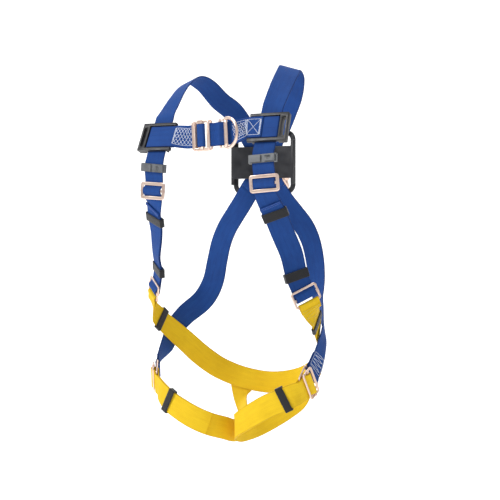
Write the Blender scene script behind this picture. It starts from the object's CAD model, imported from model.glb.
"""Safety harness: the looks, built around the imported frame. The wearer faces -Y and +Z is up.

Routes and hardware places are worked out in millimetres, and each mesh is stored in metres.
"""

import math

import bpy
import numpy as np
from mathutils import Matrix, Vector


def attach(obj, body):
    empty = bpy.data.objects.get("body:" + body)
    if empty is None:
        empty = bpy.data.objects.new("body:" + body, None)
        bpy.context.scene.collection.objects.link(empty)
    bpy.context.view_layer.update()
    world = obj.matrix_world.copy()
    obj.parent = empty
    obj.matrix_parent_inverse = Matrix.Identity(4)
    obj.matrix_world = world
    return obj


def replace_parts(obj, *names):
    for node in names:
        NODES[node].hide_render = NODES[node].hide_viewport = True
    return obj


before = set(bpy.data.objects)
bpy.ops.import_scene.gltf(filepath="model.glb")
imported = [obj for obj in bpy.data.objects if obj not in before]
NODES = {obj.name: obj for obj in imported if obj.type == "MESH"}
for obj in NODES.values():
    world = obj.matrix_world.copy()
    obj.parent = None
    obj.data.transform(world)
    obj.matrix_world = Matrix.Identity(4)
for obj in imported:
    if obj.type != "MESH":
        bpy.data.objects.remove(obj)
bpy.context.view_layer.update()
RIGHT, LEFT = -1, 1
SIDES = {RIGHT: "right", LEFT: "left"}
MM = 0.001

# ---------------------------------------------------------------- sizes, in millimetres
# Webbing, and the pitch from one layer to the next
WEB_W, WEB_T, LAYER = 44.0, 2.0, 2.2
# Steel frames, their bars, and the receivers
FRAME_LEN, FRAME_HIGH, RAIL, WIDE_RAIL, FRAME_T = 58.0, 34.0, 4.5, 5.5, 3.0
SLIDE_T = FRAME_T + 0.5
BAR_R, BAR_PLAY, GAP = 2.5, 1.2, 0.4
TURN_R = BAR_R + GAP + WEB_T / 2
RECEIVER_LEN, RECEIVER_HIGH, RECEIVER_RAIL = 60.0, 38.0, 4.0
RAIL_TURN_R = 3.9
# Chest D-ring: bar, half width, swing at rest, its pin's place, and the straight bar's reach from it
D_BAR, D_HALF, D_SWING, D_PIN_V, D_PIN_N, D_CROSS = 6.0, 31.0, 20.0, 37.0, 2.6, 16.0
# Elastic keepers
KEEPER_H, LEG_KEEPER_H, KEEPER_T = 18.0, 15.0, 1.6
# How far out the webbing runs at the chest junctions and in the buckles, from their middle planes
JUNCTION_OUT, JUNCTION_PAST, HIP_UNDER, LEG_UNDER, LEG_MALE_N = 7.6, 6.9, -5.1, -4.6, 6.0
# Places on the wearer's right and left
STRAP_X = {RIGHT: 116, LEFT: 119.5}
JUNCTION_Z = {RIGHT: -134.5, LEFT: -123}
SLIDE_Z = {RIGHT: -236, LEFT: -226}
TORSO_KEEPER_Z = {RIGHT: -290, LEFT: -284}
HIP_KEEPER_Z = {RIGHT: -388, LEFT: -398}
HIP_Z = {RIGHT: -426, LEFT: -437}
TAIL_END_Z = {RIGHT: -268, LEFT: -263}
LEG_KEEPER_Z = {RIGHT: -643, LEFT: -631}
SIDE_KEEPER_Z = -488
SHOULDER_DROP = {RIGHT: 13, LEFT: 0}


# ---------------------------------------------------------------- vectors, frames, routes
def vec(*a):
    return np.array(a, float)


def unit(v):
    return v / np.linalg.norm(v)


def mirrored(s, v):
    """A place or direction given for the left side, on side s."""
    return vec(s * v[0], v[1], v[2])


def facing(angle, s):
    """Outward direction, turned from straight ahead toward side s."""
    a = math.radians(angle)
    return vec(s * math.sin(a), -math.cos(a), 0)


def axes(origin, along, outward):
    """A place with its bar direction, webbing direction and outward direction."""
    v = unit(vec(*along))
    u = unit(np.cross(v, outward))
    return vec(*origin), u, v, np.cross(u, v)


def turned(f, angle):
    """A frame turned about its outward direction."""
    c, s = math.cos(math.radians(angle)), math.sin(math.radians(angle))
    return f[0], f[1] * c + f[2] * s, f[2] * c - f[1] * s, f[3]


def at(f, u, v, n):
    """The place at u along the bar, v along the webbing and n outward."""
    return f[0] + f[1] * u + f[2] * v + f[3] * n


def moved(f, u, v, n):
    return at(f, u, v, n), f[1], f[2], f[3]


def route(pts, first, last, step=5.0):
    """Stations [place, width direction] on a smooth curve through way-points [place, outward]."""

    def slope(i):
        a, b, c = pts[max(i - 1, 0)][0], pts[i][0], pts[min(i + 1, len(pts) - 1)][0]
        return (c - a) / (np.linalg.norm(c - b) + np.linalg.norm(b - a))

    def place(i, t):
        a, b = pts[i][0], pts[i + 1][0]
        span = np.linalg.norm(b - a)
        return (
            (2 * t**3 - 3 * t**2 + 1) * a
            + (t**3 - 2 * t**2 + t) * span * slope(i)
            + (3 * t**2 - 2 * t**3) * b
            + (t**3 - t**2) * span * slope(i + 1)
        )

    def station(i, t):
        here = place(i, t)
        ahead = place(i, t + 0.01)
        outward = pts[i][1] * (1 - t) + pts[i + 1][1] * t
        return here, unit(np.cross(ahead - here, outward))

    out = []
    for i in range(first, last):
        n = math.ceil(np.linalg.norm(pts[i + 1][0] - pts[i][0]) / step)
        out += [station(i, k / n) for k in range(n)]
    return out + [station(last - 1, 1.0)]


def heading(st, i):
    """Direction of travel at a station."""
    return unit(st[min(i + 1, len(st) - 1)][0] - st[max(i - 1, 0)][0])


def outward_at(st, i):
    return unit(np.cross(st[i][1], heading(st, i)))


def lifted(st, d):
    """A layer at a distance d outward of another."""
    return [(st[i][0] + d * outward_at(st, i), st[i][1]) for i in range(len(st))]


def flipped(st):
    """The same places with the outward side turned over."""
    return [(p, -w) for p, w in st]


def threaded(f, pts):
    """Stations through a frame from (v, n) pairs."""
    return [(at(f, 0, v, n), f[1]) for v, n in pts]


def arc(c, r, a, b, n=10):
    angles = [math.radians(a + (b - a) * k / n) for k in range(n + 1)]
    return [(c[0] + r * math.cos(t), c[1] + r * math.sin(t)) for t in angles]


def touching(p, c, r, side):
    """Direction, in degrees, of the line from p that touches the circle at c."""
    d = vec(c[0] - p[0], c[1] - p[1])
    return math.degrees(math.atan2(d[1], d[0]) + side * math.asin(r / np.linalg.norm(d)))


def frame_at_z(st, z):
    """The frame on a run of stations at height z."""
    i = min(range(len(st)), key=lambda k: abs(st[k][0][2] - z))
    rising = heading(st, i)[2] > 0
    above = st[i][0][2] > z
    j = i - 1 if above == rising else i + 1
    t = (z - st[i][0][2]) / (st[j][0][2] - st[i][0][2])
    h = heading(st, i) * (1 - t) + heading(st, j) * t
    out = outward_at(st, i) * (1 - t) + outward_at(st, j) * t
    return axes(st[i][0] * (1 - t) + st[j][0] * t, h, out)


# ---------------------------------------------------------------- where the hardware is
def hip_frame(s):
    out = facing({RIGHT: 40, LEFT: 52}[s], s)
    return turned(axes((s * 169, -47, HIP_Z[s]), (0, 0, 1), out), s * 25)


def slide_frame(s):
    return axes((s * (STRAP_X[s] + 4.5), -129, SLIDE_Z[s]), mirrored(s, (-0.07, -0.02, 1)), facing(8, s))


def leg_frame(s):
    along = {RIGHT: (0.46, 0.76, 0.46), LEFT: (0.08, 0.84, 0.54)}[s]
    outward = {RIGHT: (1, -0.55, 0), LEFT: (1, -0.12, 0)}[s]
    return axes((s * 169, -37, -602), mirrored(s, along), mirrored(s, outward))


def receiver_at_leg(s):
    f = leg_frame(s)
    along = {RIGHT: (0.32, 0.62, 0.72), LEFT: (0.06, 0.66, 0.75)}[s]
    return moved(axes(f[0], mirrored(s, along), f[3]), 0, 4, -1.5)


CHEST_MALE_N, CHEST_UNDER, CHEST_BAR_HALF = 4.6, -6.4, 3.0
CHEST = turned(axes((-14, -122, -132.5), (1, 0, 0), (0, -1, 0)), 3)
CHEST_RECEIVER = moved(CHEST, 0, 3, -1.5)
CHEST_RISE = 0.45


def chest_y(z):
    return -112 + CHEST_RISE * (z + 140)


def junction_frame(s):
    z = JUNCTION_Z[s]
    f = axes((s * STRAP_X[s], chest_y(z), z), (0, CHEST_RISE, 1), facing(5, s))
    return turned(f, {RIGHT: -3, LEFT: 4}[s])


def d_frame():
    c = CHEST_RECEIVER
    a = math.radians(D_SWING)
    v = c[2] * math.cos(a) + c[3] * math.sin(a)
    n = c[3] * math.cos(a) - c[2] * math.sin(a)
    return axes(at(c, 0, D_PIN_V, D_PIN_N), v, n)


# ---------------------------------------------------------------- routes of the webbing
SLIDE_REST = SLIDE_T / 2 + GAP + WEB_T / 2


def way(s, rows):
    """Way-points from rows of x, y, z and an outward direction, on side s."""
    return [(mirrored(s, r[:3]), mirrored(s, (r[3], r[4], r[5] if len(r) > 5 else 0))) for r in rows]


def front_route(s):
    """From the hip adjuster up the chest, over the shoulder and down to the dorsal crossing."""
    h, f, z = hip_frame(s), slide_frame(s), JUNCTION_Z[s]
    drop = SHOULDER_DROP[s]
    pts = [(at(h, 0, v, HIP_UNDER), h[3]) for v in (30, 42)]
    pts += [
        (mirrored(s, (149, -68, -358)), facing(40, s)),
        (mirrored(s, (139, -84, -318)), facing(28, s)),
        (mirrored(s, (132, -102, -282)), facing(18, s)),
        (at(f, 0, -19, -SLIDE_REST), f[3]),
        (at(f, 0, 19, -SLIDE_REST), f[3]),
        (vec(s * (STRAP_X[s] + 2), -129, SLIDE_Z[s] + 36), facing(6, s)),
    ]
    pts += [(vec(s * STRAP_X[s], chest_y(z + d), z + d), facing(5, s)) for d in (-45, -37, 37, 45)]
    shoulder = [
        (120.5, -72, -60, 0.22, -0.78, 0.58),
        (119, -47, -33, 0.34, -0.64, 0.68),
        (116, -20, -10, 0.35, -0.44, 0.82),
        (110, 4, 1, 0.28, 0, 0.96),
        (102, 36, -9, 0.30, 0.45, 0.85),
        (86, 64, -38, 0.35, 0.75, 0.55),
    ]
    pts += way(s, [(p[0] - drop / 3, p[1], p[2] - drop) + p[3:] for p in shoulder])
    pts += way(s, [(63, 83, -71, 0.20, 0.95, 0.25), (44, 92, -100, 0.05, 1, 0.10), (27, 94, -127, 0, 1, 0)])
    return pts + cross_route(s)


def cross_route(s):
    """Through the dorsal plate, where one side's webbing lies over the other's."""
    rows = [
        (21, -137, 95.5, 98),
        (13.5, -152, 101, 106.5),
        (6, -165, 104, 107.2),
        (0, -175, 104.6, 107.3),
        (-6, -185, 104, 107.2),
        (-13.5, -198, 101, 106.5),
        (-21, -213, 95.5, 98),
        (-27, -224, 94, 94.3),
        (-32, -231, 94.5, 94.5),
    ]
    return [(mirrored(s, (x, y_r if s == RIGHT else y_l, z)), vec(0, 1, 0)) for x, z, y_r, y_l in rows]


def weave(f):
    """The webbing dips behind a slide's rails and rises over its bar."""
    foot = (FRAME_HIGH - 2) / 2 - WIDE_RAIL - 0.5
    a = touching((-foot, -SLIDE_REST), (-BAR_PLAY, 0), TURN_R, 1) + 90
    half = [(-foot - 3, -SLIDE_REST), (-foot, -SLIDE_REST)] + arc((-BAR_PLAY, 0), TURN_R, a, 90)
    return threaded(f, half + [(-v, n) for v, n in reversed(half)])


def front_main(s):
    """The load-bearing run, with its weave through the torso slide."""
    pts = front_route(s)
    return route(pts, 0, 5) + weave(slide_frame(s)) + route(pts, 6, len(pts) - 1)


def hip_turn(s):
    """Round the bar of the hip adjuster."""
    foot = (FRAME_HIGH / 2 - RAIL - 0.2, -2.9)
    a = touching(foot, (0, 0), TURN_R, -1) - 90
    turn = arc((0, 0), TURN_R, a, 90, 5) + arc((-BAR_PLAY, -0.65), TURN_R + 0.65, 90, 270, 16)
    return threaded(hip_frame(s), [foot] + turn)


def front_tail(s):
    """The free end, lying on the load-bearing run above the hip adjuster."""
    st = lifted(route(front_route(s), 0, 5), LAYER)
    return [p for p in st if p[0][2] < TAIL_END_Z[s]]


def back_route(s):
    """From the dorsal crossing round the hip to the leg buckle receiver."""
    r = receiver_at_leg(s)
    rows = [
        (27, 94, -224, 0, 1),
        (32, 94.5, -231, 0, 1),
        (48, 96, -254, 0, 1),
        (69, 100, -280, 0, 1),
        (89, 104, -306, 0.05, 1),
        (103, 105, -336, 0.10, 1),
        (112, 104, -374, 0.15, 1),
        (119, 99, -415, 0.30, 0.95),
        (132, 83, -450, 0.60, 0.80),
        (156, 50, -482, 0.85, 0.50),
        (170, 28, -510, 0.97, 0.25),
        (173, 9, -540, 1, 0.05),
    ]
    return way(s, rows) + [(at(r, 0, v, LAYER / 2), r[3]) for v in (42, 32)]


def rail_turn(f, v, reach):
    """Round a receiver's rail at v, and back far enough to be sewn."""
    turn = arc((v, 0), RAIL_TURN_R, 80, 280, 16)
    back = [(v + reach, -LAYER / 2), (v + reach + 26, -LAYER / 2)]
    return threaded(f, [(v + reach, LAYER / 2)] + turn + back)


def junction_fold(s):
    """Round the outer bar of the chest junction."""
    f = junction_frame(s)
    pts = [(-44, 3.8), (-38, 3.4), (-30, 2.3)] + arc((20, 4.95), 2.65, -90, 90, 12)
    return [(at(f, s * u, 0, n), f[2] * s) for u, n in pts + [(-30, JUNCTION_OUT)]]


def buckle_turn(f, reach):
    """Round a leg buckle's bar, and out again as the free end."""
    foot, right_edge, left_edge = (-2, LEG_UNDER), (BAR_PLAY, LEG_MALE_N), (0, LEG_MALE_N)
    a = touching(foot, right_edge, TURN_R, -1) - 90
    turn = arc(right_edge, TURN_R, a, 90, 14) + arc(left_edge, TURN_R, 90, 130, 5)
    tail = [(-8.5, 2.2), (9 - reach, 2.2), (-reach, LEG_UNDER + LAYER)]
    return threaded(f, [foot] + turn + tail)


def chest_right():
    """The stations of the right chest strap, and those of its outer layer alone."""
    j, c, n = junction_frame(RIGHT), CHEST, CHEST_MALE_N
    pts = [(at(j, 30, 0, JUNCTION_OUT), j[3]), (at(j, 40, 0, JUNCTION_PAST), j[3])]
    pts += [(at(c, 0, v, CHEST_UNDER), c[3]) for v in (-34, -20)]
    inner = route(pts, 1, 2)
    foot, head = (-8.5, CHEST_UNDER), (-8.5, CHEST_UNDER + LAYER)
    right_edge, left_edge = (BAR_PLAY + CHEST_BAR_HALF, n), (-CHEST_BAR_HALF, n)
    a = touching(foot, right_edge, TURN_R, -1) - 90
    b = touching(head, left_edge, TURN_R, 1) + 90
    turn = arc(right_edge, TURN_R, a, 90, 14) + arc(left_edge, TURN_R, 90, b, 8)
    outer = lifted(inner, LAYER)[::-1]
    return junction_fold(RIGHT) + inner + threaded(c, [foot] + turn + [head]) + outer, outer


def chest_left():
    """The stations of the left chest strap, and those of its outer layer alone."""
    j, c = junction_frame(LEFT), CHEST_RECEIVER
    v = RECEIVER_HIGH / 2 - RECEIVER_RAIL / 2
    pts = [(at(j, u, 0, JUNCTION_OUT), j[3]) for u in (-9, -30)]
    pts += [(at(j, -40, 0, JUNCTION_PAST), j[3])]
    pts += [(vec(54, -119.6, -128.4), vec(0, -1, 0))]
    pts += [(at(c, 0, v + 12, -2.4), c[3]), (at(c, 0, v + 8, -2.4), c[3])]
    outer = lifted(route(pts, 0, 3), LAYER)[::-1]
    turn = arc((v, 0), RAIL_TURN_R, -75, -285, 16) + [(v + 8, 0.5)]
    turn += arc((D_PIN_V, D_PIN_N), D_BAR / 2 + GAP + WEB_T / 2, 140, 40, 8) + [(D_PIN_V + 12, 0.6)]
    through = [(at(c, 0, a, n), -c[1]) for a, n in turn]
    return junction_fold(LEFT) + route(pts, 2, 4) + through + outer, outer


def seat_route(s):
    """From the hip adjuster down the side and round behind."""
    h = hip_frame(s)
    rows = [
        (176.4, -20.9, -479.1, 1, 0.03),
        (175.5, -17.2, -482.3, 1, 0.03),
        (171.9, -3.8, -493.7, 1, 0.03),
        (170.9, -0.1, -496.9, 1, 0.03),
        (161, 24, -516, 0.95, 0.30),
        (149, 47, -536, 0.85, 0.50),
        (134, 78, -563, 0.65, 0.75),
        (106, 106, -590, 0.40, 0.90),
        (60, 124, -609, 0.15, 1),
        (0, 130, -617, 0, 1),
        (-60, 124, -609, -0.15, 1),
    ]
    return [(at(h, 0, v, LAYER / 2), h[3]) for v in (-22, -29)] + way(s, rows)


def seat():
    """The whole seat strap, from one adjuster to the other."""
    v = -FRAME_HIGH / 2 + RAIL / 2

    def end(s):
        h = hip_frame(s)
        turn = [(v - 16, -LAYER / 2), (v - 12, -LAYER / 2)] + arc((v, 0), 4, -80, 80, 16)
        return [(at(h, 0, a, n), -h[1] * s) for a, n in turn]

    halves = {s: route(seat_route(s), 0, len(seat_route(s)) - 2) for s in SIDES}
    return end(RIGHT) + flipped(halves[RIGHT]) + halves[LEFT][-2::-1] + end(LEFT)[::-1]


def leg_route(s):
    """From the leg buckle across the thigh, between the legs and up to the seat strap."""
    f = leg_frame(s)
    first = {
        RIGHT: [(139, -70, -623, 0.66, -0.75), (125, -78, -633, 0.42, -0.91)],
        LEFT: [(152, -73, -624, 0.74, -0.67), (134.5, -79, -633, 0.49, -0.87)],
    }
    rows = first[s] + [
        (110, -84, -643, 0.28, -0.96),
        (85, -87, -657, 0, -1),
        (56, -82, -673, -0.35, -0.93),
        (30, -67, -686, -0.65, -0.75),
        (12, -40, -695, -0.90, -0.40),
        (8.5, -12, -702, -1, -0.05),
        (8.5, 15, -702, -1, 0.05),
        (14, 45, -697, -0.85, 0.45),
        (30, 75, -683, -0.65, 0.75),
        (51, 102, -664, -0.40, 0.90),
        (65, 126, -645, 0, 1),
        (70, 129, -622, 0.17, 1),
        (72, 129, -592, 0.17, 1),
    ]
    return [(at(f, 0, v, LEG_UNDER), f[3]) for v in (-25, -31)] + way(s, rows)


def leg(s):
    """The whole leg strap, from the seat strap to its free end past the buckle."""
    pts = leg_route(s)
    main = route(pts, 1, len(pts) - 1)
    tail = lifted(route(pts, 1, 7), LAYER)
    return main[::-1] + flipped(buckle_turn(leg_frame(s), 31)) + tail[1:]


# ---------------------------------------------------------------- materials
class Shader:
    """A small wrapper for building one material's nodes."""

    def __init__(self, name, **sockets):
        self.mat = bpy.data.materials.new(name)
        self.mat.use_nodes = True
        self.tree = self.mat.node_tree
        self.bsdf = self.tree.nodes["Principled BSDF"]
        for key, value in sockets.items():
            self.bsdf.inputs[key.replace("_", " ")].default_value = value

    def add(self, kind, inputs=(), **props):
        n = self.tree.nodes.new(kind)
        for k, v in props.items():
            setattr(n, k, v)
        for key, value in dict(inputs).items():
            if isinstance(value, bpy.types.NodeSocket):
                self.tree.links.new(value, n.inputs[key])
            else:
                n.inputs[key].default_value = value
        return n

    def math(self, op, a, b=0.0):
        return self.add("ShaderNodeMath", {0: a, 1: b}, operation=op).outputs[0]

    def noise(self, where, scale, detail=2.0, rough=0.5):
        ins = {"Vector": where, "Scale": scale, "Detail": detail, "Roughness": rough}
        return self.add("ShaderNodeTexNoise", ins).outputs["Fac"]

    def ramp(self, fac, lo, hi, a=0.0, b=1.0):
        ins = {"Value": fac, "From Min": lo, "From Max": hi, "To Min": a, "To Max": b}
        return self.add("ShaderNodeMapRange", ins).outputs["Result"]

    def mix(self, fac, a, b):
        n = self.add("ShaderNodeMix", data_type="RGBA")
        for key, value in ((0, fac), (6, a), (7, b)):
            if isinstance(value, bpy.types.NodeSocket):
                self.tree.links.new(value, n.inputs[key])
            else:
                n.inputs[key].default_value = value
        return n.outputs[2]

    def place(self, output="Object"):
        return self.add("ShaderNodeTexCoord").outputs[output]

    def stretched(self, where, scale):
        return self.add("ShaderNodeMapping", {"Vector": where, "Scale": scale}).outputs[0]

    def colour(self, c):
        self.link(c, "Base Color")

    def link(self, out, socket):
        self.tree.links.new(out, self.bsdf.inputs[socket])

    def bump(self, height, distance, strength=1.0, under=None):
        ins = {"Height": height, "Distance": distance, "Strength": strength}
        if under is not None:
            ins["Normal"] = under
        n = self.add("ShaderNodeBump", ins).outputs[0]
        self.link(n, "Normal")
        return n


def rgb(r, g, b):
    return (r, g, b, 1.0)


CHEVRON_W, PICK_PITCH, YARN_PITCH, STRIPE_PITCH = 5.5, 1.7, 1.1, 11.0


def webbing_material(name, dark, light, edge):
    """Polyester webbing: chevron weave between fine warp yarns, with a tight selvedge."""
    m = Shader(name, Sheen_Weight=0.06, Sheen_Roughness=0.4, Specular_IOR_Level=0.16)
    m.bsdf.inputs["Sheen Tint"].default_value = light
    uv = m.place("UV")
    xy = m.add("ShaderNodeSeparateXYZ", {0: uv})
    x = m.math("MULTIPLY", xy.outputs[0], WEB_W)
    y = m.math("MULTIPLY", xy.outputs[1], WEB_W)
    chevron = m.math("MULTIPLY", m.math("PINGPONG", x, CHEVRON_W), 1.9)
    pick = m.math("SINE", m.math("ADD", m.math("MULTIPLY", y, 2 * math.pi / PICK_PITCH), chevron))
    yarn = m.math("SINE", m.math("MULTIPLY", x, 2 * math.pi / YARN_PITCH))
    weave_h = m.math("ADD", m.math("MULTIPLY", pick, 0.32), m.math("MULTIPLY", yarn, 0.18))
    weave_h = m.math("ADD", weave_h, 0.5)
    edge_near = m.math("ABSOLUTE", m.math("SUBTRACT", xy.outputs[0], 0.5))
    selvedge = m.ramp(edge_near, 0.455, 0.485)
    wave = m.math("SINE", m.math("MULTIPLY", x, 2 * math.pi / STRIPE_PITCH))
    stripes = m.math("MULTIPLY", m.math("ADD", wave, 1.0), 0.5)
    streak = m.noise(m.stretched(uv, (22.0, 0.9, 1.0)), 1.6, 3.0)
    patch = m.noise(m.place(), 26.0, 3.0, 0.6)
    tone = m.math("ADD", m.math("MULTIPLY", weave_h, 0.34), m.math("MULTIPLY", streak, 0.34))
    tone = m.math("ADD", tone, m.math("MULTIPLY", patch, 0.30))
    tone = m.math("ADD", tone, m.math("MULTIPLY", stripes, 0.03))
    body = m.mix(m.ramp(tone, 0.25, 0.80), dark, light)
    m.colour(m.mix(m.math("MULTIPLY", selvedge, 0.65), body, edge))
    m.link(m.ramp(streak, 0.3, 0.7, 0.60, 0.76), "Roughness")
    fuzz = m.bump(m.noise(m.place(), 900.0, 2.0), 0.00012, 0.5)
    m.bump(weave_h, 0.00022, 0.8, fuzz)
    return m.mat


def thread_material(name, colour_a, colour_b):
    m = Shader(name, Roughness=0.5, Sheen_Weight=0.3, Sheen_Roughness=0.5)
    n = m.noise(m.place(), 1400.0, 1.0)
    m.colour(m.mix(n, colour_a, colour_b))
    m.bump(m.math("SINE", m.math("MULTIPLY", n, 30.0)), 0.00008, 0.4)
    return m.mat


def steel_material(name, light, dark):
    """Pressed steel with a warm plated finish: faint brushing, small pits, duller patches."""
    m = Shader(name, Metallic=0.90)
    where = m.place()
    cloud = m.noise(where, 42.0, 4.0, 0.6)
    brushed = m.noise(m.stretched(where, (1.0, 1.0, 9.0)), 260.0, 3.0, 0.65)
    pits = m.noise(where, 900.0, 2.0)
    tone = m.math("ADD", m.math("MULTIPLY", cloud, 0.7), m.math("MULTIPLY", brushed, 0.3))
    m.colour(m.mix(m.ramp(tone, 0.25, 0.62), dark, light))
    worn = m.math("ADD", cloud, m.math("MULTIPLY", brushed, 0.5))
    m.link(m.ramp(worn, 0.5, 1.0, 0.29, 0.37), "Roughness")
    first = m.bump(brushed, 0.00002, 0.25)
    m.bump(m.ramp(pits, 0.30, 0.42), 0.00003, 0.2, first)
    return m.mat


def plastic_material(name, dark, light, rough=0.42):
    """Moulded nylon with a fine spark-eroded grain and slightly rubbed high spots."""
    m = Shader(name, Specular_IOR_Level=0.5)
    where = m.place()
    grain = m.noise(where, 1500.0, 3.0, 0.6)
    cloud = m.noise(where, 60.0, 3.0)
    tone = m.math("ADD", m.math("MULTIPLY", grain, 0.4), m.math("MULTIPLY", cloud, 0.6))
    m.colour(m.mix(m.ramp(tone, 0.35, 0.7), dark, light))
    m.link(m.ramp(cloud, 0.3, 0.7, rough - 0.08, rough + 0.12), "Roughness")
    m.bump(grain, 0.00010, 0.55)
    return m.mat


RIB_PITCH, COVER_PITCH = 1.4, 1.0


def elastic_material(name):
    """Black woven elastic: ribs round the loop, crossed by fine covered yarns."""
    m = Shader(name, Roughness=0.72, Sheen_Weight=0.25, Sheen_Roughness=0.5, Specular_IOR_Level=0.3)
    uv = m.place("UV")
    xy = m.add("ShaderNodeSeparateXYZ", {0: uv})
    rib = m.math("SINE", m.math("MULTIPLY", xy.outputs[1], 2 * math.pi / (RIB_PITCH * MM)))
    yarn = m.math("SINE", m.math("MULTIPLY", xy.outputs[0], 2 * math.pi / (COVER_PITCH * MM)))
    h = m.math("ADD", m.math("MULTIPLY", rib, 0.3), m.math("MULTIPLY", yarn, 0.2))
    h = m.math("ADD", h, 0.5)
    m.colour(m.mix(h, rgb(0.004, 0.004, 0.005), rgb(0.020, 0.020, 0.023)))
    m.bump(h, 0.00022, 0.8)
    return m.mat


BLUE = webbing_material(
    "blue_webbing_weave",
    dark=rgb(0.008, 0.033, 0.155),
    light=rgb(0.018, 0.085, 0.33),
    edge=rgb(0.006, 0.021, 0.105),
)
YELLOW = webbing_material(
    "yellow_webbing_weave",
    dark=rgb(0.68, 0.40, 0.008),
    light=rgb(0.94, 0.66, 0.024),
    edge=rgb(0.54, 0.31, 0.007),
)
WHITE_THREAD = thread_material("white_thread", rgb(0.66, 0.72, 0.86), rgb(0.86, 0.90, 0.96))
YELLOW_THREAD = thread_material("yellow_thread", rgb(0.62, 0.45, 0.03), rgb(0.82, 0.64, 0.10))
BLUE_THREAD = thread_material("blue_thread", rgb(0.02, 0.06, 0.30), rgb(0.05, 0.13, 0.48))
STEEL = steel_material("rose_plated_steel", rgb(0.93, 0.74, 0.63), rgb(0.74, 0.51, 0.41))
BLACK = plastic_material("black_nylon", rgb(0.008, 0.008, 0.010), rgb(0.024, 0.024, 0.027))
GREY = plastic_material("grey_nylon", rgb(0.095, 0.10, 0.107), rgb(0.165, 0.172, 0.182), 0.45)
ELASTIC = elastic_material("black_elastic")


# ---------------------------------------------------------------- mesh helpers
def new_object(name, verts, faces, mat, body, uvs=None):
    """verts in millimetres. uvs holds one (u, v) for each face corner, in order."""
    me = bpy.data.meshes.new(name)
    me.from_pydata([tuple(v * MM) for v in verts], [], faces)
    me.update()
    if uvs is not None:
        layer = me.uv_layers.new(name="UVMap")
        layer.data.foreach_set("uv", np.asarray(uvs, np.float32).ravel())
    me.materials.append(mat)
    obj = bpy.data.objects.new(name, me)
    bpy.context.scene.collection.objects.link(obj)
    me.polygons.foreach_set("use_smooth", [True] * len(me.polygons))
    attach(obj, body)
    return obj


def soften(obj, width, segments):
    """Rounds the edges of a hard shape, with its shading kept flat between them."""
    weld = obj.modifiers.new("weld", "WELD")
    weld.merge_threshold = 1e-5
    bev = obj.modifiers.new("bevel", "BEVEL")
    bev.width = width * MM
    bev.segments = segments
    bev.limit_method = "ANGLE"
    bev.angle_limit = math.radians(30)
    bev.harden_normals = True
    bev.use_clamp_overlap = True
    obj.data.polygons.foreach_set("use_smooth", [True] * len(obj.data.polygons))


def grid_faces(n_rings, n_side, closed_rings=False, closed_sides=True):
    """Quads between rings of corners, each ring having the same number."""
    rings = n_rings if closed_rings else n_rings - 1
    sides = n_side if closed_sides else n_side - 1
    out = []
    for i in range(rings):
        a, b = i * n_side, ((i + 1) % n_rings) * n_side
        for k in range(sides):
            k2 = (k + 1) % n_side
            out.append((a + k, a + k2, b + k2, b + k))
    return out


STATION_GAP, PLACE_PASSES, WIDTH_PASSES = 1.0, 3, 8


def smoothed(st):
    """Even stations along a list of uneven ones, with its corners eased."""
    p = np.array([a for a, _ in st])
    w = np.array([b for _, b in st])
    length = np.concatenate([[0], np.cumsum(np.linalg.norm(np.diff(p, axis=0), axis=1))])
    keep = np.concatenate([[True], np.diff(length) > 1e-4])
    p, w, length = p[keep], w[keep], length[keep]
    n = max(int(length[-1] / STATION_GAP), 8)
    s = np.linspace(0, length[-1], n)
    p = np.stack([np.interp(s, length, p[:, k]) for k in range(3)], 1)
    w = np.stack([np.interp(s, length, w[:, k]) for k in range(3)], 1)
    for _ in range(PLACE_PASSES):
        p[1:-1] = 0.25 * p[:-2] + 0.5 * p[1:-1] + 0.25 * p[2:]
    for _ in range(WIDTH_PASSES):
        w[1:-1] = 0.25 * w[:-2] + 0.5 * w[1:-1] + 0.25 * w[2:]
    return p, w, s


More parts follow.
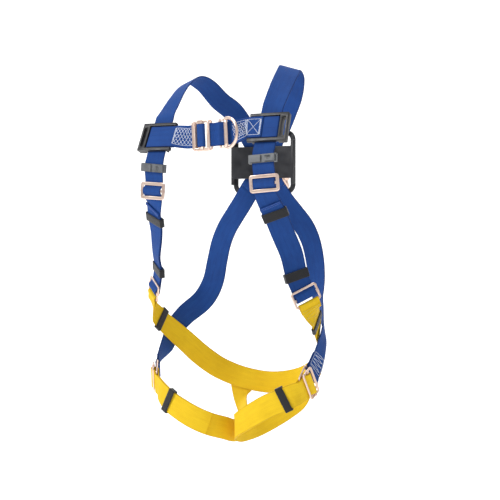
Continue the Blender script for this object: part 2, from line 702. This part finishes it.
class Strap:
    """A length of webbing with rounded edges, which seams can be sewn on."""

    COARSEST, MOST_TURN = 6.0, 4.0

    def __init__(self, stations):
        self.p, w, self.s = smoothed(stations)
        t = np.gradient(self.p, axis=0)
        t /= np.linalg.norm(t, axis=1)[:, None]
        w -= t * np.sum(w * t, axis=1)[:, None]
        self.w = w / np.linalg.norm(w, axis=1)[:, None]
        self.out = np.cross(self.w, t)

    def nearest(self, place):
        """Distance along the strap to the station nearest a place."""
        return self.s[np.argmin(np.linalg.norm(self.p - np.asarray(place, float), axis=1))]

    def at(self, s, across, high):
        """A place at a distance along the strap, from its middle, and out from its surface."""
        pick = lambda a: np.array([np.interp(s, self.s, a[:, k]) for k in range(3)])
        return pick(self.p) + pick(self.w) * across + pick(self.out) * high

    def kept(self):
        """Stations that a mesh needs: close together only where the strap turns."""
        t = np.gradient(self.p, axis=0)
        t /= np.linalg.norm(t, axis=1)[:, None]
        keep, last = [0], 0
        for i in range(1, len(self.s) - 1):
            swung = math.degrees(math.acos(np.clip(t[i] @ t[last], -1, 1)))
            twist = math.degrees(math.acos(np.clip(self.w[i] @ self.w[last], -1, 1)))
            if self.s[i] - self.s[last] >= self.COARSEST or max(swung, twist) > self.MOST_TURN:
                keep.append(i)
                last = i
        return keep + [len(self.s) - 1]

    def build(self, name, mat, body, node):
        h, t = WEB_W / 2, WEB_T / 2
        side = [(h, 0.0), (h - 0.12, 0.55), (h - 0.55, 0.93), (h - 2.6, 1.02), (h - 3.4, 0.93)]
        across = [h / 2, h / 6, -h / 6, -h / 2]
        top = side + [(a, 0.95) for a in across]
        top += [(-a, b) for a, b in side[:0:-1]]
        section = top + [(-a, -b) for a, b in top]
        k = len(section)
        rows = self.kept()
        verts, vs = [], []
        for i in rows:
            verts += [self.p[i] + self.w[i] * a + self.out[i] * b * t for a, b in section]
            vs.append(self.s[i] / WEB_W)
        faces = grid_faces(len(rows), k)
        us = [0.5 + a / (2 * h) for a, _ in section]
        uvs = []
        for i in range(len(rows) - 1):
            for j in range(k):
                j2 = (j + 1) % k
                uvs += [(us[j], vs[i]), (us[j2], vs[i]), (us[j2], vs[i + 1]), (us[j], vs[i + 1])]
        for ring, order in ((0, range(k - 1, -1, -1)), (len(rows) - 1, range(k))):
            faces.append(tuple(ring * k + j for j in order))
            uvs += [(us[j], vs[ring] + section[j][1] * 0.02) for j in order]
        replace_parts(new_object(name, verts, faces, mat, body, uvs), node)


def capsule():
    """One stitch: a rounded, slightly flattened grain of thread 1 long and 1 wide."""
    rings = [(-0.5, 0.0), (-0.42, 0.62), (-0.18, 1.0), (0.18, 1.0), (0.42, 0.62), (0.5, 0.0)]
    verts, faces, n = [vec(-0.5, 0, 0)], [], 6
    angles = np.arange(n) * 2 * math.pi / n
    for x, r in rings[1:-1]:
        verts += [vec(x, 0.5 * r * math.cos(a), 0.42 * r * math.sin(a)) for a in angles]
    verts.append(vec(0.5, 0, 0))
    last = len(verts) - 1
    for k in range(n):
        k2 = (k + 1) % n
        faces.append((0, 1 + k2, 1 + k))
        for i in range(3):
            a, b = 1 + i * n, 1 + (i + 1) * n
            faces.append((a + k, a + k2, b + k2, b + k))
        faces.append((last, 1 + 3 * n + k, 1 + 3 * n + k2))
    return np.array(verts), faces


GRAIN, GRAIN_FACES = capsule()


FRONT, BACK = (0, -1, 0), (0, 1, 0)
STITCH_LIFT, STITCH_FILL, SHORTEST_STITCH = 0.12, 0.93, 0.4


def sew(name, strap, lines, body, toward, mat=WHITE_THREAD, pitch=3.0, width=0.9):
    """Rows of separate stitches, on the strap's face that looks toward a direction.

    lines are lists of (distance along the strap, from its middle)."""
    verts, faces = [], []
    surface = WEB_T / 2 * 0.98
    for line in lines:
        line = np.array(line, float)
        gaps = np.linalg.norm(np.diff(line, axis=0), axis=1)
        total = np.concatenate([[0], np.cumsum(gaps)])
        n = max(int(round(total[-1] / pitch)), 1)
        cuts = np.linspace(0, total[-1], n + 1)
        ends = [(np.interp(c, total, line[:, 0]), np.interp(c, total, line[:, 1])) for c in cuts]
        for (s0, a0), (s1, a1) in zip(ends, ends[1:]):
            bare = strap.at((s0 + s1) / 2, (a0 + a1) / 2, 0)
            up = strap.at((s0 + s1) / 2, (a0 + a1) / 2, 2.0) - bare
            face = 1 if up @ vec(*toward) > 0 else -1
            p, q = (strap.at(s, a, face * (surface + STITCH_LIFT)) for s, a in ((s0, a0), (s1, a1)))
            mid, along = (p + q) / 2, (q - p)
            size = np.linalg.norm(along)
            if size < SHORTEST_STITCH:
                continue
            along = along / size
            up = face * unit(up - along * (up @ along))
            cross = np.cross(up, along)
            base = len(verts)
            shape = GRAIN * vec(size * STITCH_FILL, width, width)
            verts += list(mid + shape[:, :1] * along + shape[:, 1:2] * cross + shape[:, 2:3] * up)
            faces += [tuple(base + i for i in f) for f in GRAIN_FACES]
    return new_object(name, verts, faces, mat, body)


def zigzag(s0, s1, half, turns):
    """A line of stitches that swings from side to side."""
    pts = []
    for k in range(turns + 1):
        pts.append((s0 + (s1 - s0) * k / turns, half if k % 2 else -half))
    return pts


def box_line(s0, s1, a):
    return [(s0, -a), (s1, -a), (s1, a), (s0, a), (s0, -a)]


def crossed_box(s0, s1, a):
    return [box_line(s0, s1, a), [(s0, -a), (s1, a)], [(s0, a), (s1, -a)]]


def tube(name, path, r, body, sides, normal, closed=True, flat=1.0):
    """A steel bar swept along a flat path, whose plane has the given normal."""
    path = np.array(path, float)
    n = len(path)
    verts = []
    for i in range(n):
        a = path[(i - 1) % n] if closed or i else path[0]
        b = path[(i + 1) % n] if closed or i < n - 1 else path[-1]
        t = unit(b - a)
        u = unit(np.cross(t, normal))
        for k in range(sides):
            ang = 2 * math.pi * k / sides
            verts.append(path[i] + u * r * math.cos(ang) + normal * r * flat * math.sin(ang))
    faces = grid_faces(n, sides, closed_rings=closed)
    if not closed:
        faces += [tuple(range(sides - 1, -1, -1)), tuple((n - 1) * sides + k for k in range(sides))]
    return new_object(name, verts, faces, STEEL, body)


def rounded_path(corners, n=8):
    """2-D closed path through corners (x, y, radius)."""
    pts = []
    m = len(corners)
    for i in range(m):
        p = vec(*corners[i][:2])
        a = unit(vec(*corners[i - 1][:2]) - p)
        b = unit(vec(*corners[(i + 1) % m][:2]) - p)
        r = corners[i][2]
        half = math.acos(np.clip(a @ b, -1, 1)) / 2
        reach = r / math.tan(half)
        centre = p + unit(a + b) * r / math.sin(half)
        start, end = p + a * reach - centre, p + b * reach - centre
        a0, a1 = math.atan2(start[1], start[0]), math.atan2(end[1], end[0])
        sweep = (a1 - a0 + math.pi) % (2 * math.pi) - math.pi
        for k in range(n + 1):
            t = a0 + sweep * k / n
            pts.append(centre + r * vec(math.cos(t), math.sin(t)))
    return pts


CORNER_R, RING_EDGE = 6.0, 1.1


def ring(name, f, size, body, node):
    """A pressed frame: a flat bar with rounded edges, bent round a rounded rectangle.

    size is its length, its height, the widths of its ends and of its long sides, and its thickness."""
    w, h, ends, longs, t = size
    edge = min(RING_EDGE, t / 2)
    x, y = (w - ends) / 2, (h - longs) / 2
    r = max(CORNER_R - longs / 2, 2.2)
    path = rounded_path([(x, y, r), (-x, y, r), (-x, -y, r), (x, -y, r)], 7)
    n = len(path)
    section = []
    for cx, cy, a0 in ((1, 1, 0), (-1, 1, 90), (-1, -1, 180), (1, -1, 270)):
        for k in range(4):
            a = math.radians(a0 + 30 * k)
            section.append((cx, edge * math.cos(a), cy * (t / 2 - edge) + edge * math.sin(a)))
    verts = []
    for i in range(n):
        d = unit(path[(i + 1) % n] - path[i - 1])
        out = vec(d[1], -d[0])
        half = (ends * out[0] ** 2 + longs * out[1] ** 2) / 2
        for side, a, b in section:
            q = path[i] + out * (side * (half - edge) + a)
            verts.append(at(f, q[0], q[1], b))
    faces = grid_faces(n, len(section), closed_rings=True)
    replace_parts(new_object(name, verts, faces, STEEL, body), node)


BAND_WALL = 1.5


def loop(name, f, layers, high, room, node):
    """A keeper: a band of elastic round the webbing, with its edges eased and its faces bowed."""

    def outline(w, t, r):
        return rounded_path([(w, t, r), (-w, t, r), (-w, -t, r), (w, -t, r)], 6)

    w, t = (WEB_W + 3.0) / 2 + KEEPER_T, (layers * LAYER) / 2 + room * 0.6 + KEEPER_T
    mid = (layers - 1) * LAYER / 2
    outer = outline(w, t, 2.2)
    inner = outline(w - BAND_WALL, t - BAND_WALL, 1.0)
    n = len(outer)
    half = [(-0.5, 0.15), (-0.49, 0.75), (-0.45, 1.0), (-0.2, 0.96)]
    rows = half + [(0.0, 0.94)] + [(-v, k) for v, k in reversed(half)]
    rows += [(0.44, 0.0), (-0.44, 0.0)]
    verts = []
    gaps = [np.linalg.norm(outer[(i + 1) % n] - outer[i]) for i in range(n)]
    around = np.concatenate([[0], np.cumsum(gaps)])
    for v, k in rows:
        for i in range(n):
            q = inner[i] * (1 - k) + outer[i] * k
            verts.append(at(f, q[0], v * high, q[1] + mid))
    faces = grid_faces(len(rows), n, closed_rings=True)
    uvs = []
    for i in range(len(rows)):
        v0, v1 = rows[i][0] * high * MM, rows[(i + 1) % len(rows)][0] * high * MM
        for k in range(n):
            a, b = around[k] * MM, around[k + 1] * MM
            uvs += [(a, v0), (b, v0), (b, v1), (a, v1)]
    faces = [tuple(reversed(q)) for q in faces]
    uvs = [uvs[4 * i + j] for i in range(len(faces)) for j in (3, 2, 1, 0)]
    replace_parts(new_object(name, verts, faces, ELASTIC, node, uvs), node)


def cad(node, mat, width, segments=3):
    """A node whose own shape is right: it gets its finish and eased edges."""
    o = NODES[node]
    o.data.materials.clear()
    o.data.materials.append(mat)
    soften(o, width, segments)


# ---------------------------------------------------------------- webbing and its seams
HEM_LEN, SEAM_HALF = 8, 20


def front_strap(s):
    side = SIDES[s]
    tail = front_tail(s)
    fold = [p for p in lifted(tail, LAYER) if np.linalg.norm(p[0] - tail[-1][0]) < HEM_LEN]
    f = axes(tail[-1][0], heading(tail, len(tail) - 1), outward_at(tail, len(tail) - 1))
    bend = [(at(f, 0, v, n), tail[-1][1]) for v, n in arc((0.0, LAYER / 2), LAYER / 2, 90, -90, 8)]
    strap = Strap(fold + bend + tail[::-1] + hip_turn(s) + front_main(s))
    strap.build(f"front_webbing_{side}", BLUE, "harness", f"front_strap_{side}")
    rows = [[(along, -SEAM_HALF), (along, SEAM_HALF)] for along in (2.5, 5.0)]
    sew(f"tail_seams_{side}", strap, rows, "harness", FRONT, BLUE_THREAD, pitch=2.6)


def back_strap(s):
    side = SIDES[s]
    pts = back_route(s)
    v = RECEIVER_HIGH / 2 - RECEIVER_RAIL / 2
    strap = Strap(route(pts, 1, len(pts) - 1) + flipped(rail_turn(receiver_at_leg(s), v, 11)))
    strap.build(f"back_webbing_{side}", BLUE, "harness", f"back_strap_{side}")
    end = strap.nearest(at(receiver_at_leg(s), 0, v + 5, 2.0))
    lines = [zigzag(end - 36, end - 8, 17, 7), box_line(end - 38, end - 6, 19)]
    sew(f"leg_receiver_seams_{side}", strap, lines, "harness", (s, 0, 0))


def place_at_x(st, x):
    """Where a chest strap's layer has a given X."""
    return min((p for p, _ in st), key=lambda p: abs(p[0] - x))


def diamonds(s0, s1, middle, half, count):
    """Two waves that cross, which make a row of diamonds."""
    waves = []
    for swing in (half, -half):
        waves.append([(s, middle + a) for s, a in zigzag(s0, s1, swing, 2 * count)])
    return waves


CHEST_SEAM_HALF = 16.5


def chest_straps():
    body, half = "chest_assembly", CHEST_SEAM_HALF
    stations, outer = chest_right()
    right = Strap(stations)
    right.build("chest_webbing_right", BLUE, body, "chest_strap_right")
    a, b = right.nearest(place_at_x(outer, -77.5)), right.nearest(place_at_x(outer, -50)) - 11
    rows = [box_line(a, b, half), [(a - 1.6, -half), (a - 1.6, half)], [(a + 1.6, 16), (a + 1.6, -16)]]
    for middle in (-10.5, 0, 10.5):
        rows += diamonds(a, b, middle, 4.8, 3)
    sew("chest_seams_right", right, rows, body, FRONT, pitch=2.9, width=1.0)

    stations, outer = chest_left()
    left = Strap(stations)
    left.build("chest_webbing_left", BLUE, body, "chest_strap_left")
    a, b = left.nearest(place_at_x(outer, 79)), left.nearest(place_at_x(outer, 108))
    rows = crossed_box(a, b, half)
    for shift in (-1.5, 1.5):
        rows.append([(a + shift, -17), (a + shift, 17)])
        rows.append([(b + shift * 0.7, -half), (b + shift * 0.7, half)])
    d = left.nearest(place_at_x(outer, 48))
    for middle in (-9, 0, 9):
        rows += diamonds(d, a, middle, 4.5, 3)
    rows += [[(d, -half), (a, -half)], [(d, half), (a, half)]]
    sew("chest_seams_left", left, rows, body, FRONT, pitch=2.9, width=1.0)


def seat_strap():
    strap = Strap(seat())
    strap.build("seat_webbing", YELLOW, "harness", "sub_pelvic_strap")
    for s, side in SIDES.items():
        e = strap.nearest(at(hip_frame(s), 0, -FRAME_HIGH / 2 - 8, 1.2))
        d = 1 if s == RIGHT else -1
        lines = [[(e + d * k, -SEAM_HALF), (e + d * k, SEAM_HALF)] for k in (0, 3.5)]
        lines += crossed_box(e + d * 9, e + d * 30, 18)
        sew(f"seat_seams_{side}", strap, lines, "harness", (s, -0.5, 0), YELLOW_THREAD)


def leg_strap(s):
    side = SIDES[s]
    strap = Strap(leg(s))
    strap.build(f"leg_webbing_{side}", YELLOW, "harness", f"leg_strap_{side}")
    lines = crossed_box(4, WEB_W, 18)
    sew(f"leg_end_seams_{side}", strap, lines, "harness", BACK, YELLOW_THREAD)


for s in SIDES:
    front_strap(s)
for s in SIDES:
    back_strap(s)
chest_straps()
seat_strap()
for s in SIDES:
    leg_strap(s)

# ---------------------------------------------------------------- metal frames and bars
FRAME_SIZE = (FRAME_LEN, FRAME_HIGH, RAIL, RAIL, FRAME_T)
SLIDE_SIZE = (FRAME_LEN + 1, FRAME_HIGH - 0.5, 6.0, 6.5, SLIDE_T)
CHEST_SIZE = (FRAME_LEN, FRAME_HIGH + 5, 5.5, 7.5, FRAME_T)
RECEIVER_SIZE = (RECEIVER_LEN, RECEIVER_HIGH, RECEIVER_RAIL, RECEIVER_RAIL, FRAME_T)
for s, side in SIDES.items():
    buckle, receiver = moved(leg_frame(s), 0, 0, LEG_MALE_N), receiver_at_leg(s)
    ring(f"torso_slide_ring_{side}", slide_frame(s), SLIDE_SIZE, "harness", f"torso_slide_{side}")
    ring(f"hip_adjuster_ring_{side}", hip_frame(s), FRAME_SIZE, "harness", f"hip_adjuster_{side}")
    ring(f"leg_buckle_ring_{side}", buckle, FRAME_SIZE, "harness", f"leg_buckle_frame_{side}")
    ring(f"leg_receiver_ring_{side}", receiver, RECEIVER_SIZE, "harness", f"leg_receiver_frame_{side}")
    for node in ("torso_slide_bar", "hip_adjuster_bar", "leg_buckle_bar"):
        cad(f"{node}_{side}", STEEL, 0.4)
CHEST_MALE = moved(CHEST, 0, 0, CHEST_MALE_N)
ring("chest_buckle_ring", CHEST_MALE, CHEST_SIZE, "chest_assembly", "chest_buckle_frame")
ring("chest_receiver_ring", CHEST_RECEIVER, RECEIVER_SIZE, "chest_assembly", "chest_receiver_frame")
cad("chest_buckle_bar", STEEL, 0.4)


def chest_d_ring():
    """A bow closed by a straight bar, with a flat face on the bar and a smaller loop for its pin."""
    f, body = d_frame(), "chest_d_ring"
    r, corner = D_BAR / 2, 4.5
    side, top = D_HALF - r, D_CROSS + 5
    bow = [(side, D_CROSS + corner), (side, top)]
    bow += [(side * math.cos(a), top + side * math.sin(a)) for a in np.linspace(0.08, math.pi - 0.08, 28)]
    bow += [(-side, top), (-side, D_CROSS + corner)]
    angles = np.linspace(0.2, math.pi / 2, 6)
    left = [(-side + corner * (1 - math.cos(a)), D_CROSS + corner * (1 - math.sin(a))) for a in angles]
    across = [(x, D_CROSS) for x in np.linspace(-side + 8, side - 8, 9)]
    right = [(-u, v) for u, v in reversed(left)]
    pts = [at(f, u, v, 0) for u, v in bow + left + across + right]
    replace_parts(tube("chest_ring_bow", pts, r, body, 16, f[3]), body)
    bar = [at(f, u, D_CROSS + 1.2, 0) for u in np.linspace(-side + 2, side - 2, 9)]
    tube("chest_ring_flat_bar", bar, 4.2, body, 20, f[3], closed=False, flat=0.68)
    x = WEB_W / 2 + 1.5 + 2.25
    pin = rounded_path([(x, D_CROSS, 1.0), (x, 0, 3.0), (-x, 0, 3.0), (-x, D_CROSS, 1.0)], 6)
    tube("chest_ring_pin", [at(f, p[0], p[1], 0) for p in pin[6:-6]], 2.6, body, 14, f[3], closed=False)


chest_d_ring()
cad("dorsal_d_ring", STEEL, 2.2, 4)

# ---------------------------------------------------------------- plastic and elastic
for s, side in SIDES.items():
    cad(f"chest_junction_{side}", BLACK, 1.2)
    cad(f"lanyard_keeper_{side}", GREY, 0.9)
    torso = route(front_route(s), 0, 5)
    leg_part = route(leg_route(s), 1, 7)
    seat_part = route(seat_route(s), 0, 5)
    keepers = (
        ("torso_keeper", frame_at_z(torso, TORSO_KEEPER_Z[s]), 2, KEEPER_H, 2.5),
        ("hip_keeper", frame_at_z(torso, HIP_KEEPER_Z[s]), 2, KEEPER_H, 2.9),
        ("leg_keeper", frame_at_z(leg_part, LEG_KEEPER_Z[s]), 2, LEG_KEEPER_H, 2.8),
        ("side_keeper", frame_at_z(seat_part, SIDE_KEEPER_Z), 1, LEG_KEEPER_H, 1.2),
    )
    for name, f, layers, high, room in keepers:
        loop(f"{name}_band_{side}", f, layers, high, room, f"{name}_{side}")
cad("dorsal_plate", BLACK, 1.6)


# ---------------------------------------------------------------- stage, light, camera, in metres
VIEW = math.radians(29)
CAMERA_AWAY, CAMERA_AIM = 3.5, (0.017, 0.0095, -0.350)
TARGET = (0.0, 0.0, -0.35)


def stage_sheet():
    """A pale floor that curves up into a backdrop."""
    m = Shader("studio_sheet", Roughness=0.9, Emission_Color=rgb(1, 1, 1), Emission_Strength=0.45)
    n = m.noise(m.place(), 1.5, 3.0)
    m.colour(m.mix(n, rgb(0.88, 0.88, 0.88), rgb(0.92, 0.92, 0.92)))
    low, turn, back, high, half = -1.45, 2.0, 4.5, 7.0, 9.0
    angles = np.linspace(0, math.pi / 2, 16)
    bend = [(back - turn + turn * math.sin(a), low + turn * (1 - math.cos(a))) for a in angles]
    curve = [(-half, low)] + bend + [(back, high)]
    right = vec(math.cos(VIEW), math.sin(VIEW), 0)
    ahead = vec(-math.sin(VIEW), math.cos(VIEW), 0)
    verts = [right * x + ahead * y + vec(0, 0, z) for y, z in curve for x in (-half, half)]
    me = bpy.data.meshes.new("studio_sheet")
    me.from_pydata([tuple(v) for v in verts], [], grid_faces(len(curve), 2, closed_sides=False))
    me.polygons.foreach_set("use_smooth", [True] * len(me.polygons))
    me.materials.append(m.mat)
    obj = bpy.data.objects.new("studio_sheet", me)
    bpy.context.scene.collection.objects.link(obj)


def area_light(name, place, size, power):
    data = bpy.data.lights.new(name, "AREA")
    data.shape = "DISK"
    data.size, data.energy = size, power
    obj = bpy.data.objects.new(name, data)
    bpy.context.scene.collection.objects.link(obj)
    obj.location = place
    obj.rotation_euler = (Vector(TARGET) - Vector(place)).to_track_quat("-Z", "Y").to_euler()


stage_sheet()
area_light("key", (-2.2, -3.4, 2.4), 1.6, 150)
area_light("fill", (3.6, -2.6, 0.6), 3.0, 22)
area_light("top", (0.2, 0.6, 3.2), 2.2, 60)
area_light("rear", (-1.8, 3.4, 1.6), 2.0, 35)
world = bpy.data.worlds.new("studio")
bpy.context.scene.world = world
world.use_nodes = True
sky = world.node_tree.nodes["Background"]
sky.inputs["Color"].default_value = rgb(0.95, 0.97, 1.0)
sky.inputs["Strength"].default_value = 0.34

cam = bpy.data.cameras.new("camera")
cam.lens, cam.sensor_width = 128.8, 36.0
cam.clip_end = 60
camera = bpy.data.objects.new("camera", cam)
bpy.context.scene.collection.objects.link(camera)
camera.location = vec(*CAMERA_AIM) + CAMERA_AWAY * vec(math.sin(VIEW), -math.cos(VIEW), 0)
camera.rotation_euler = (math.radians(90), 0, VIEW)
bpy.context.scene.camera = camera
bpy.context.scene.view_settings.view_transform = "Standard"
